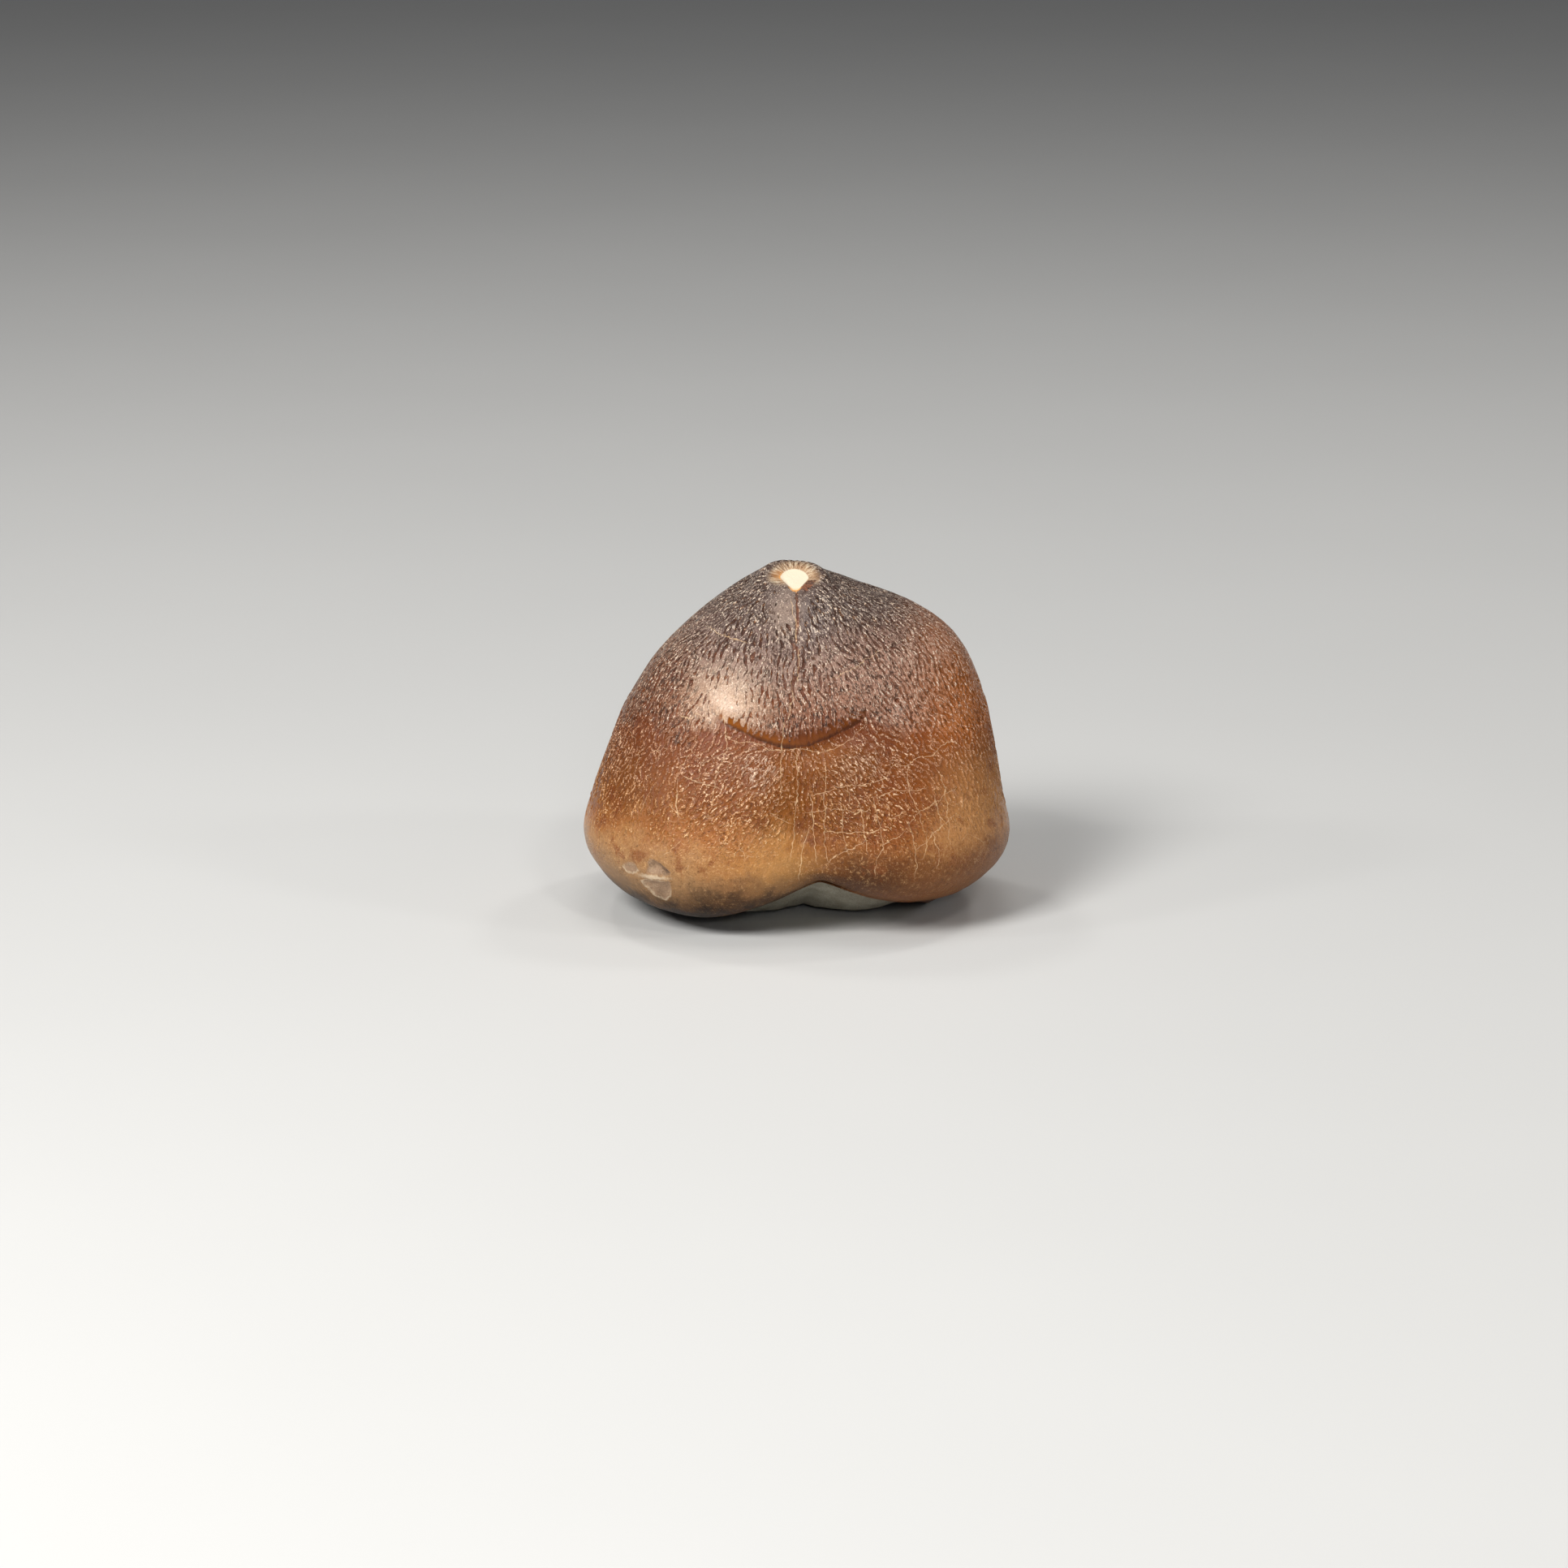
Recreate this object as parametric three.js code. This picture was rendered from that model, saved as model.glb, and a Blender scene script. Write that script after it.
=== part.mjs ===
// Crown of a globe-toothed mosasaur, found without its root. It is broad and low, with a
// blunt worn nub for a tip, a shallow hollow down the front of it and a curved step across
// that hollow. The heel curls inwards to its rim, and uncurls where the front is notched.
// Pale sediment fills the pulp cavity and shows in the notch.
//
// Millimetres, +Z up, front towards -Y, long side along X. The origin is on the plane that
// the crown stands on, under the middle of its outline. The outlines below are measured from
// the axis through the base, and an angle is measured round that axis from +X.
import * as THREE from "three";

// Outlines of the crown towards its four sides, each as [distance from the axis, height],
// from the tip down to the rim.
const RIGHT = [
  [0, 18.3], [1, 18.2], [1.78, 17.55], [2.6, 16.78], [4.55, 15.98], [6.85, 14.93], [8.66, 13.46],
  [9.76, 11.3], [10.35, 8.6], [10.68, 5.9], [11.02, 4.1], [10.48, 2.72], [8.9, 1.3], [6.9, 0],
];
const BACK = [
  [0, 18.3], [0.85, 18.05], [1.7, 17.78], [2.85, 17.42], [4.35, 16.65], [5.85, 15.35], [7.22, 13.6],
  [8.18, 11.2], [8.74, 8.6], [9, 5.9], [9, 4.1], [8.6, 2.6], [7.5, 1.1], [6, 0],
];
const LEFT = [
  [0, 18.3], [0.95, 18.1], [1.55, 17.36], [2.32, 16.5], [3.65, 15.6], [5.52, 14.2], [7.1, 12.65],
  [8.46, 10.65], [9.52, 8.3], [10.52, 5.9], [11.02, 4.1], [10.54, 2.66], [9.15, 1.05], [6.9, 0],
];
const FRONT = [
  [0, 18.3], [0.8, 17.9], [1.33, 17.05], [1.98, 16.2], [3, 15.05], [4.1, 13.65], [5.18, 12.08],
  [6.07, 10.5], [7.14, 8.25], [8, 6.05], [8.52, 4.1], [8.42, 2.4], [7.25, 0.6], [4.9, 0],
];
const FULLNESS = 2.35; // 2 is an ellipse in plan, more is squarer

const AROUND = 84; // facets round the crown
const DOWN = 33; // rows of facets from the facet's edge to the rim
const WORN = 2; // rows of facets across the wear facet
const CROWDING = 0.06; // above 0, the rows lie closer together half way down

// The axis leans, and the shoulders sweep back from the tip.
const TIP = { x: -0.46, y: -0.15, from: 2, to: 17 };
const SWEEP_RIGHT = { back: 2.27, width: 8, from: 5, to: 12 };
const SWEEP_LEFT = { back: 0.3, width: 6, from: 3, to: 12 };

const SULCUS = { x: 0.6, depth: 0.85, width: 1.7, spread: 1.2, top: 11, full: 5.5 };
const CRESCENT = { height: 9.9, rise: 0.42, round: 1.2, depth: 0.28, half: 3.6, lip: 0.16 };
const FACET = { height: 17.75, slope: 0.55, y: 0.65 };
const NOTCH = { x: 1.18, left: 6.6, right: 8, rise: 2.55, power: 1.7, round: 0.05, uncurled: 2 };
const LIFT = { front: 0.34, waist: 4.1 }; // the front of the rim stands a little clear
const CHIP = { x: -6.95, y: -6.9, z: 3.13, radius: 0.95, depth: 0.3 };

// The rim is flat and narrows at the notch. The cavity domes up from its inner edge.
const RIM = { width: 1, atNotch: 0.45 };
const CAVITY = { height: 5, roundness: 0.8, rows: 8 };
const GAP = { side: 0.36, ceiling: 0.55 }; // between the sediment and the cavity
const UNDERSIDE = { recess: 0.12, middle: 0.26, slope: 0.68, soft: 0.3, rows: 8, around: 42 };

// From the axis to the middle of the outline.
const MIDDLE = { x: -0.03, y: 0.4 };

const ENAMEL = 0x93592a;
const SEDIMENT = 0x77746a;

function ramp(from, to, value) {
  return THREE.MathUtils.smoothstep(value, from, to);
}

// A smooth curve through an outline's points, for t from 0 at the tip to 1 at the rim.
function along(outline, t) {
  const last = outline.length - 1;
  const place = THREE.MathUtils.clamp(t, 0, 1) * last;
  const i = Math.min(Math.floor(place), last - 1);
  const f = place - i;
  const b = outline[i];
  const c = outline[i + 1];
  const a = i > 0 ? outline[i - 1] : [-c[0], c[1]];
  const d = i < last - 1 ? outline[i + 2] : [2 * c[0] - b[0], 2 * c[1] - b[1]];
  return [0, 1].map(
    (k) =>
      0.5 *
      (2 * b[k] +
        (c[k] - a[k]) * f +
        (2 * a[k] - 5 * b[k] + 4 * c[k] - d[k]) * f * f +
        (3 * b[k] - a[k] - 3 * c[k] + d[k]) * f * f * f),
  );
}

// How far the notch has opened at x, from 0 beside it to 1 at its peak.
function notchAt(x) {
  const reach = (x - NOTCH.x) / (x > NOTCH.x ? NOTCH.right : NOTCH.left);
  const open = THREE.MathUtils.clamp(1 + NOTCH.round - Math.hypot(reach, NOTCH.round), 0, 1);
  return Math.pow(open, NOTCH.power);
}

function rimLift(x, facing) {
  return (LIFT.front + NOTCH.rise * notchAt(x)) * ramp(0, 0.5, facing);
}

// How deep the flaked patch on the heel is at a point, and zero away from it.
function chipDepth(x, y, z) {
  const away = Math.hypot(x - CHIP.x, y - CHIP.y, z - CHIP.z) / CHIP.radius;
  return CHIP.depth * (1 - ramp(0.55, 1.25, away));
}

// How far a point stands above the wear facet's plane.
function aboveFacet(y, z) {
  return z - FACET.height - FACET.slope * (y - FACET.y);
}

// The enamel's surface at an angle and a t, before the tip is worn off.
function unworn(angle, t) {
  const c = Math.cos(angle);
  const s = Math.sin(angle);
  const [rx, zx] = along(c > 0 ? RIGHT : LEFT, t);
  const [ry, zy] = along(s > 0 ? BACK : FRONT, t);
  const facing = Math.max(-s, 0);
  const across = Math.pow(Math.abs(c) / Math.max(rx, 1e-6), FULLNESS);
  const deep = Math.pow(Math.abs(s) / Math.max(ry, 1e-6), FULLNESS);
  let radius = t > 0 ? Math.pow(across + deep, -1 / FULLNESS) : 0;
  let z = zx * c * c + zy * s * s;

  const x0 = radius * c;
  const toFront = ramp(0.2, 0.6, facing);
  const width = SULCUS.width + SULCUS.spread * (1 - ramp(3, 9, z));
  const hollow =
    SULCUS.depth *
    (1 - ramp(SULCUS.full, SULCUS.top, z)) *
    Math.exp(-(((x0 - SULCUS.x) / width) ** 2)) *
    (0.6 + 0.4 * ramp(0, 3, z));
  const stepHeight =
    CRESCENT.height + CRESCENT.rise * (Math.hypot(x0, CRESCENT.round) - CRESCENT.round);
  const above = z - stepHeight;
  const fade = Math.exp(-((x0 / CRESCENT.half) ** 4));
  const step = CRESCENT.depth * Math.exp(-(((above + 0.35) / 0.55) ** 2)) * fade;
  const lip = CRESCENT.lip * Math.exp(-(((above - 0.9) / 0.9) ** 2)) * fade;
  radius += (lip - step - hollow) * toFront;
  radius += NOTCH.uncurled * notchAt(radius * c) * toFront * ramp(0.93, 1, t);

  const lean = ramp(TIP.from, TIP.to, z);
  const x = radius * c + TIP.x * lean;
  const side = x > 0 ? SWEEP_RIGHT : SWEEP_LEFT;
  const swept = side.back * ramp(0, side.width, Math.abs(x)) * ramp(side.from, side.to, z);
  const y = radius * s + TIP.y * lean + swept;
  if (z < LIFT.waist) {
    z += rimLift(x, facing) * (1 - z / LIFT.waist);
  }
  const chip = chipDepth(x, y, z);
  return new THREE.Vector3(x - chip * c, y - chip * s, z);
}

function enamel(angle, t) {
  const point = unworn(angle, t);
  point.z -= Math.max(aboveFacet(point.y, point.z), 0);
  return point;
}

// The t at which the wear facet ends, found by halving.
function facetEdge(angle) {
  let inside = 0;
  let outside = 0.3;
  for (let i = 0; i < 24; i += 1) {
    const middle = (inside + outside) / 2;
    const point = unworn(angle, middle);
    if (aboveFacet(point.y, point.z) > 0) {
      inside = middle;
    } else {
      outside = middle;
    }
  }
  return outside;
}

// A point of the pulp cavity's wall, for u from 0 at the rim to 1 at its ceiling. The
// margins shrink it sideways and lower its ceiling.
function cavity(angle, u, sideways, ceiling) {
  const outer = enamel(angle, 1);
  const opening = notchAt(outer.x) * ramp(0, 0.5, -Math.sin(angle));
  const width = THREE.MathUtils.lerp(RIM.width, RIM.atNotch, opening);
  const mouth = Math.hypot(outer.x, outer.y) - width - sideways;
  const turn = (u * Math.PI) / 2;
  const radius = u < 1 ? mouth * Math.pow(Math.cos(turn), CAVITY.roundness) : 0;
  const rise = (CAVITY.height - ceiling) * Math.sin(turn);
  return new THREE.Vector3(
    radius * Math.cos(angle),
    radius * Math.sin(angle),
    outer.z * (1 - u) + rise,
  );
}

// A closed surface from rings of points with a pole at each end.
function skin(top, rings, bottom) {
  const around = rings[0].length;
  const points = [top, ...rings.flat(), bottom];
  const faces = [];
  for (let i = 0; i < around; i += 1) {
    const j = (i + 1) % around;
    faces.push(0, 1 + i, 1 + j);
    for (let k = 0; k < rings.length - 1; k += 1) {
      const a = 1 + k * around;
      const b = a + around;
      faces.push(a + i, b + i, b + j, a + i, b + j, a + j);
    }
    const last = 1 + (rings.length - 1) * around;
    faces.push(points.length - 1, last + j, last + i);
  }
  const geometry = new THREE.BufferGeometry().setFromPoints(points);
  geometry.setIndex(faces);
  geometry.computeVertexNormals();
  return geometry;
}

function ring(count, at) {
  return Array.from({ length: count }, (_, i) => at((i / count) * 2 * Math.PI));
}

function crownGeometry() {
  const rings = [];
  for (let k = 1; k <= WORN; k += 1) {
    rings.push(ring(AROUND, (angle) => enamel(angle, (facetEdge(angle) * k) / WORN)));
  }
  for (let k = 1; k <= DOWN; k += 1) {
    const f = k / DOWN + CROWDING * Math.sin((k / DOWN) * 2 * Math.PI);
    rings.push(ring(AROUND, (angle) => enamel(angle, facetEdge(angle) * (1 - f) + f)));
  }
  for (let k = 0; k < CAVITY.rows; k += 1) {
    rings.push(ring(AROUND, (angle) => cavity(angle, k / CAVITY.rows, 0, 0)));
  }
  return skin(enamel(0, 0), rings, cavity(0, 1, 0, 0));
}

// The fill's underside slopes from the rim's level at its edge down to the middle's.
function underside(angle, v) {
  const edge = cavity(angle, 0, GAP.side, 0);
  const fallen = UNDERSIDE.slope * v * Math.hypot(edge.x, edge.y);
  const left = edge.z + UNDERSIDE.recess - UNDERSIDE.middle - fallen;
  const z = UNDERSIDE.middle + (left + Math.hypot(left, UNDERSIDE.soft)) / 2;
  return new THREE.Vector3(edge.x * (1 - v), edge.y * (1 - v), z);
}

function fillGeometry() {
  const rings = [];
  for (let k = CAVITY.rows - 1; k >= 1; k -= 1) {
    const u = k / CAVITY.rows;
    rings.push(ring(UNDERSIDE.around, (angle) => cavity(angle, u, GAP.side, GAP.ceiling)));
  }
  for (let k = 0; k < UNDERSIDE.rows; k += 1) {
    rings.push(ring(UNDERSIDE.around, (angle) => underside(angle, k / UNDERSIDE.rows)));
  }
  return skin(cavity(0, 1, 0, GAP.ceiling), rings, underside(0, 1));
}

function piece(name, geometry, color, roughness) {
  const material = new THREE.MeshStandardMaterial({ color, roughness, metalness: 0 });
  const mesh = new THREE.Mesh(geometry, material);
  mesh.name = name;
  return mesh;
}

const tooth = new THREE.Group();
tooth.position.set(-MIDDLE.x, -MIDDLE.y, 0);
tooth.add(piece("crown", crownGeometry(), ENAMEL, 0.32));
tooth.add(piece("matrix_infill", fillGeometry(), SEDIMENT, 0.95));

export default tooth;
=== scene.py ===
"""The looks of the fossil mosasaur crown: fine enamel relief, colours, light and camera.

The crown is rebuilt from the outlines that part.mjs uses, with enough points to carry its
wrinkles. Lengths are millimetres from the axis through the base, front towards -Y, until a
mesh is made. Angles go round that axis from +X.
"""

import itertools
import math
from types import SimpleNamespace as Group

import bpy
import numpy as np
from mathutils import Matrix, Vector


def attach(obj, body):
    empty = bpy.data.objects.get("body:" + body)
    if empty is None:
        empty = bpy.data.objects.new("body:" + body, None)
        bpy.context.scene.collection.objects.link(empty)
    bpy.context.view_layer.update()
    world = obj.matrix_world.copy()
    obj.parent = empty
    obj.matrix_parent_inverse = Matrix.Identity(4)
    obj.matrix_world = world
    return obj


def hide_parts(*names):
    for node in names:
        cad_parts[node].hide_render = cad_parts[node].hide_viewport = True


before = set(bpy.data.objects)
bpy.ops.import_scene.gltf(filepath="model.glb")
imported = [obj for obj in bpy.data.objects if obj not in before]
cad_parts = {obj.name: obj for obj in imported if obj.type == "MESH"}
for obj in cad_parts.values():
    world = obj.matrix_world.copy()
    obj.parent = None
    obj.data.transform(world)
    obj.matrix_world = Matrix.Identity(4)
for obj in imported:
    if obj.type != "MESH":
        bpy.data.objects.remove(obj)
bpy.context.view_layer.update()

MM = 0.001
MIDDLE = np.array([0.03, -0.4, 0.0])  # the axis in the part's own frame
SEED = 4

# -------- shape, as in part.mjs

RIGHT = [
    (0, 18.3), (1, 18.2), (1.78, 17.55), (2.6, 16.78), (4.55, 15.98), (6.85, 14.93), (8.66, 13.46),
    (9.76, 11.3), (10.35, 8.6), (10.68, 5.9), (11.02, 4.1), (10.48, 2.72), (8.9, 1.3), (6.9, 0),
]
BACK = [
    (0, 18.3), (0.85, 18.05), (1.7, 17.78), (2.85, 17.42), (4.35, 16.65), (5.85, 15.35),
    (7.22, 13.6), (8.18, 11.2), (8.74, 8.6), (9, 5.9), (9, 4.1), (8.6, 2.6), (7.5, 1.1), (6, 0),
]
LEFT = [
    (0, 18.3), (0.95, 18.1), (1.55, 17.36), (2.32, 16.5), (3.65, 15.6), (5.52, 14.2), (7.1, 12.65),
    (8.46, 10.65), (9.52, 8.3), (10.52, 5.9), (11.02, 4.1), (10.54, 2.66), (9.15, 1.05), (6.9, 0),
]
FRONT = [
    (0, 18.3), (0.8, 17.9), (1.33, 17.05), (1.98, 16.2), (3, 15.05), (4.1, 13.65), (5.18, 12.08),
    (6.07, 10.5), (7.14, 8.25), (8, 6.05), (8.52, 4.1), (8.42, 2.4), (7.25, 0.6), (4.9, 0),
]
FULLNESS = 2.35
TIP = Group(x=-0.46, y=-0.15, start=2, end=17)
SWEEP_RIGHT = Group(back=2.27, width=8, start=5, end=12)
SWEEP_LEFT = Group(back=0.3, width=6, start=3, end=12)
SULCUS = Group(x=0.6, depth=0.85, width=1.7, spread=1.2, top=11, full=5.5)
CRESCENT = Group(height=9.9, rise=0.42, round=1.2, depth=0.28, half=3.6, lip=0.16)
FACING = (0.2, 0.6)  # how far to the front these two begin and are full, from 0 to 1
FACING_RIM = (0, 0.5)  # the same for what lifts the rim
FACET = Group(height=17.75, slope=0.55, y=0.65, soft=0.3)
NOTCH = Group(x=1.18, left=6.6, right=8, rise=2.55, power=1.7, round=0.05, uncurled=2)
LIFT = Group(front=0.34, waist=4.1)
RIM = Group(width=1, at_notch=0.45)
CAVITY = Group(height=5, roundness=0.8)


def ramp(low, high, value):
    u = np.clip((value - low) / (high - low), 0, 1)
    return u * u * (3 - 2 * u)


def bell(value, middle, width):
    return np.exp(-(((value - middle) / width) ** 2))


def fillet(a, b, soft):
    """How much a smooth choice between two numbers rounds their corner off."""
    return np.maximum(soft - np.abs(a - b), 0) ** 2 / soft / 4


def along(outline, t):
    """The smooth curve through an outline, for t from 0 at the tip to 1 at the rim."""
    points = np.asarray(outline, float)
    last = len(points) - 1
    place = np.clip(t, 0, 1) * last
    i = np.minimum(place.astype(int), last - 1)
    f = (place - i)[..., None]
    b, c = points[i], points[i + 1]
    a = np.where((i > 0)[..., None], points[i - 1], points[i + 1] * [-1, 1])
    d = np.where((i < last - 1)[..., None], points[np.minimum(i + 2, last)], 2 * c - b)
    square, cube = 2 * a - 5 * b + 4 * c - d, 3 * b - a - 3 * c + d
    return 0.5 * (2 * b + (c - a) * f + square * f**2 + cube * f**3)


def notch_at(x):
    reach = (x - NOTCH.x) / np.where(x > NOTCH.x, NOTCH.right, NOTCH.left)
    return np.clip(1 + NOTCH.round - np.hypot(reach, NOTCH.round), 0, 1) ** NOTCH.power


def above_crescent(x0, z):
    """How far a height is above the curved step, x0 from the leaning axis."""
    bend = CRESCENT.round
    return z - CRESCENT.height - CRESCENT.rise * (np.hypot(x0, bend) - bend)


def enamel(angle, t):
    """Points of the crown's surface without its fine relief."""
    c, s = np.cos(angle), np.sin(angle)
    side = np.where((c > 0)[..., None], along(RIGHT, t), along(LEFT, t))
    face = np.where((s > 0)[..., None], along(BACK, t), along(FRONT, t))
    front = np.maximum(-s, 0)
    across = (np.abs(c) / np.maximum(side[..., 0], 1e-6)) ** FULLNESS
    deep = (np.abs(s) / np.maximum(face[..., 0], 1e-6)) ** FULLNESS
    radius = np.where(t > 0, np.maximum(across + deep, 1e-9) ** (-1 / FULLNESS), 0)
    z = side[..., 1] * c**2 + face[..., 1] * s**2

    x0 = radius * c
    to_front = ramp(*FACING, front)
    width = SULCUS.width + SULCUS.spread * (1 - ramp(3, 9, z))
    hollow = SULCUS.depth * (1 - ramp(SULCUS.full, SULCUS.top, z))
    hollow *= bell(x0, SULCUS.x, width) * (0.6 + 0.4 * ramp(0, 3, z))
    above = above_crescent(x0, z)
    fade = np.exp(-((x0 / CRESCENT.half) ** 4))
    step = CRESCENT.depth * bell(above, -0.35, 0.55) * fade
    lip = CRESCENT.lip * bell(above, 0.9, 0.9) * fade
    radius = radius + (lip - step - hollow) * to_front
    radius = radius + NOTCH.uncurled * notch_at(radius * c) * to_front * ramp(0.93, 1, t)

    lean = ramp(TIP.start, TIP.end, z)
    x = radius * c + TIP.x * lean
    y = radius * s + TIP.y * lean
    for sweep, reach in ((SWEEP_RIGHT, x), (SWEEP_LEFT, -x)):
        low = ramp(sweep.start, sweep.end, z)
        y = y + sweep.back * ramp(0, sweep.width, reach) * low
    raised = (LIFT.front + NOTCH.rise * notch_at(x)) * ramp(*FACING_RIM, front)
    z = np.where(z < LIFT.waist, z + raised * (1 - z / LIFT.waist), z)

    worn = FACET.height + FACET.slope * (y - FACET.y)
    z = np.minimum(z, worn) - fillet(z, worn, FACET.soft)
    return np.stack([x, y, z], -1)


def cavity(angle, u, margin=0.0, ceiling=0.0):
    """Points of the pulp cavity's wall, for u from 0 at the rim to 1 at its ceiling."""
    outer = enamel(angle, np.ones_like(angle))
    opening = notch_at(outer[..., 0]) * ramp(*FACING_RIM, -np.sin(angle))
    width = RIM.width + (RIM.at_notch - RIM.width) * opening
    mouth = np.hypot(outer[..., 0], outer[..., 1]) - width - margin
    turn = u * math.pi / 2
    radius = mouth * max(math.cos(turn), 0) ** CAVITY.roundness if u < 1 else mouth * 0
    z = outer[..., 2] * (1 - u) + (CAVITY.height - ceiling) * math.sin(turn)
    return np.stack([radius * np.cos(angle), radius * np.sin(angle), z], -1)


# -------- noise on the surface


def scramble(cells, seed):
    """A number from -1 to 1 for each cell of a grid, always the same for one seed."""
    h = cells[..., 0] * 73856093 ^ cells[..., 1] * 19349663 ^ cells[..., 2] * 83492791
    h = (h ^ (seed * 2654435761)) & 0xFFFFFFFF
    h = ((h ^ (h >> 15)) * 2246822519) & 0xFFFFFFFF
    h = ((h ^ (h >> 13)) * 3266489917) & 0xFFFFFFFF
    return ((h ^ (h >> 16)) & 0xFFFFFF) / 0x7FFFFF - 1


def noise(points, size, seed):
    """Smooth noise from -1 to 1 whose bumps are about size across."""
    places = points / size + 0.37 * seed
    low = np.floor(places).astype(np.int64)
    f = places - low
    f = f * f * (3 - 2 * f)
    total = np.zeros(len(points))
    for corner in itertools.product((0, 1), repeat=3):
        weight = np.prod(np.where(corner, f, 1 - f), -1)
        total += weight * scramble(low + corner, seed)
    return total


def layered(points, layers, shift=0):
    """The sum of layers of noise, each given as its height, size and seed."""
    total = 0.0
    for height, size, seed in layers:
        total = total + height * noise(points, size, seed + shift)
    return total


def stripes(points, waves):
    """Stripes that follow a direction, as the real and imaginary part of a sum of short waves.

    Each wave dies away within narrow across the stripes and long along them, so stripes split,
    join and end where the waves disagree.
    """
    centres, across, narrow, long = waves.centres, waves.across, waves.narrow, waves.long
    reach = 2.5 * long.max()
    homes = {}
    for i, cell in enumerate(map(tuple, np.floor(centres / reach).astype(int))):
        homes.setdefault(cell, []).append(i)
    cells, home = np.unique(np.floor(points / reach).astype(int), axis=0, return_inverse=True)
    order = np.argsort(home.ravel(), kind="stable")
    starts = np.searchsorted(home.ravel()[order], np.arange(len(cells) + 1))
    total = np.zeros(len(points), complex)
    shifts = list(itertools.product((-1, 0, 1), repeat=3))
    for k, cell in enumerate(cells):
        mine = order[starts[k] : starts[k + 1]]
        near = [i for shift in shifts for i in homes.get(tuple(cell + shift), ())]
        if not near:
            continue
        gap = points[mine, None] - centres[None, near]
        over = np.einsum("ijk,jk->ij", gap, across[near])
        square = np.einsum("ijk,ijk->ij", gap, gap)
        fall = over**2 / (2 * narrow[near] ** 2)
        fall += np.maximum(square - over**2, 0) / (2 * long[near] ** 2)
        turn = 2 * math.pi / waves.length[near] * over + waves.phase[near]
        total[mine] = (np.exp(1j * turn - fall)).sum(1)
    return total


# -------- meshes from rings


def lace(rings):
    """Triangles between closed rings of points, each ring given as its points' angles."""
    faces = []
    starts = np.concatenate([[0], np.cumsum([len(r) for r in rings])])
    for k in range(len(rings) - 1):
        upper, lower = rings[k], rings[k + 1]
        turn_up = (upper + np.append(upper[1:], upper[0] + 2 * math.pi)) / 2
        turn_low = (lower + np.append(lower[1:], lower[0] + 2 * math.pi)) / 2
        i = np.arange(len(upper))
        j = np.searchsorted(turn_low, turn_up, "left") % len(lower)
        a, b = starts[k], starts[k + 1]
        faces.append(np.stack([a + i, b + j, a + (i + 1) % len(upper)], -1))
        j = np.arange(len(lower))
        i = np.searchsorted(turn_up, turn_low, "right") % len(upper)
        faces.append(np.stack([a + i, b + j, b + (j + 1) % len(lower)], -1))
    return np.concatenate(faces)


def spread(curve, step, phase, least=6):
    """Angles round a closed curve, with a step between them given at its angles and points."""
    fine = np.linspace(0, 2 * math.pi, 1441)  # every quarter of a degree
    points = curve(fine)
    run = np.linalg.norm(np.diff(points, axis=0), axis=1)
    gap = step((fine[1:] + fine[:-1]) / 2, (points[1:] + points[:-1]) / 2)
    total = np.concatenate([[0], np.cumsum(run / gap)])
    count = max(least, round(total[-1]))
    return np.interp((np.arange(count) + phase) * total[-1] / count, total, fine)


def cap_off(angles, count):
    """Faces from a first ring to a top point and from a last one to a bottom point."""
    first, last = np.arange(len(angles[0])), np.arange(len(angles[-1]))
    base = count - len(last)
    top = np.stack([np.full(len(first), count), first, (first + 1) % len(first)], -1)
    tail = np.full(len(last), count + 1)
    bottom = np.stack([base + last, tail, base + (last + 1) % len(last)], -1)
    return np.concatenate([top, lace(angles), bottom])


def make_mesh(name, points, faces, numbers):
    """A smooth object from points in millimetres, with a number per point for each name."""
    mesh = bpy.data.meshes.new(name)
    mesh.vertices.add(len(points))
    mesh.vertices.foreach_set("co", ((points + MIDDLE) * MM).astype(np.float32).ravel())
    mesh.loops.add(faces.size)
    mesh.loops.foreach_set("vertex_index", faces.astype(np.int32).ravel())
    mesh.polygons.add(len(faces))
    mesh.polygons.foreach_set("loop_start", np.arange(0, faces.size, 3, dtype=np.int32))
    mesh.polygons.foreach_set("use_smooth", np.ones(len(faces), bool))
    for key, values in numbers.items():
        layer = mesh.attributes.new(key, "FLOAT", "POINT")
        layer.data.foreach_set("value", values.astype(np.float32))
    mesh.update()
    mesh.validate()
    obj = bpy.data.objects.new(name, mesh)
    bpy.context.scene.collection.objects.link(obj)
    return obj


# -------- the crown's places

# A place on the front is (x, z) unless a comment says otherwise. A layer of noise is how high
# it is, the size of its bumps and its seed.
GROOVE = [  # (z, x)
    (16.5, -0.05), (15.7, 0.03), (14.55, -0.06), (13.6, 0.06), (12.58, -0.31), (11.86, -0.43),
]
GROOVE_PAIR = (-0.2, 0.3)  # x of the two grooves beside it, lower down
PITS = [  # (x, y, z)
    (-1.07, -1.14, 16.76), (-1.05, -1.89, 16.35), (-1.46, -2.27, 15.94), (0.96, -2.13, 16.11),
    (1.08, -1.74, 16.44), (0.68, -2.44, 15.85), (0.48, -2.71, 15.56), (-0.47, -2.82, 15.42),
]
CHIPS = dict(
    pit=[(-7.44, 4.3), (-7.02, 4.22), (-6.42, 3.78), (-6.36, 3.52), (-7.62, 3.44), (-7.58, 4.08)],
    flat=[(-7.9, 3.04), (-7.1, 3.2), (-6.42, 3.2), (-6.36, 2.55), (-6.5, 2.12), (-6.84, 1.98),
          (-7.5, 2.45)],
    flake=[(-8.75, 3.85), (-8.25, 3.9), (-8.05, 3.42), (-8.6, 3.2), (-8.87, 3.55)],
)
CHIP_DEPTH = dict(pit=0.26, flat=0.13, flake=0.07)
CHIP_EDGE = dict(pit=0.28, flat=0.12, flake=0.1)  # how far in a chip reaches its depth
CHIP_ROUND = 0.14  # how round the outlines' corners are
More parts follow.
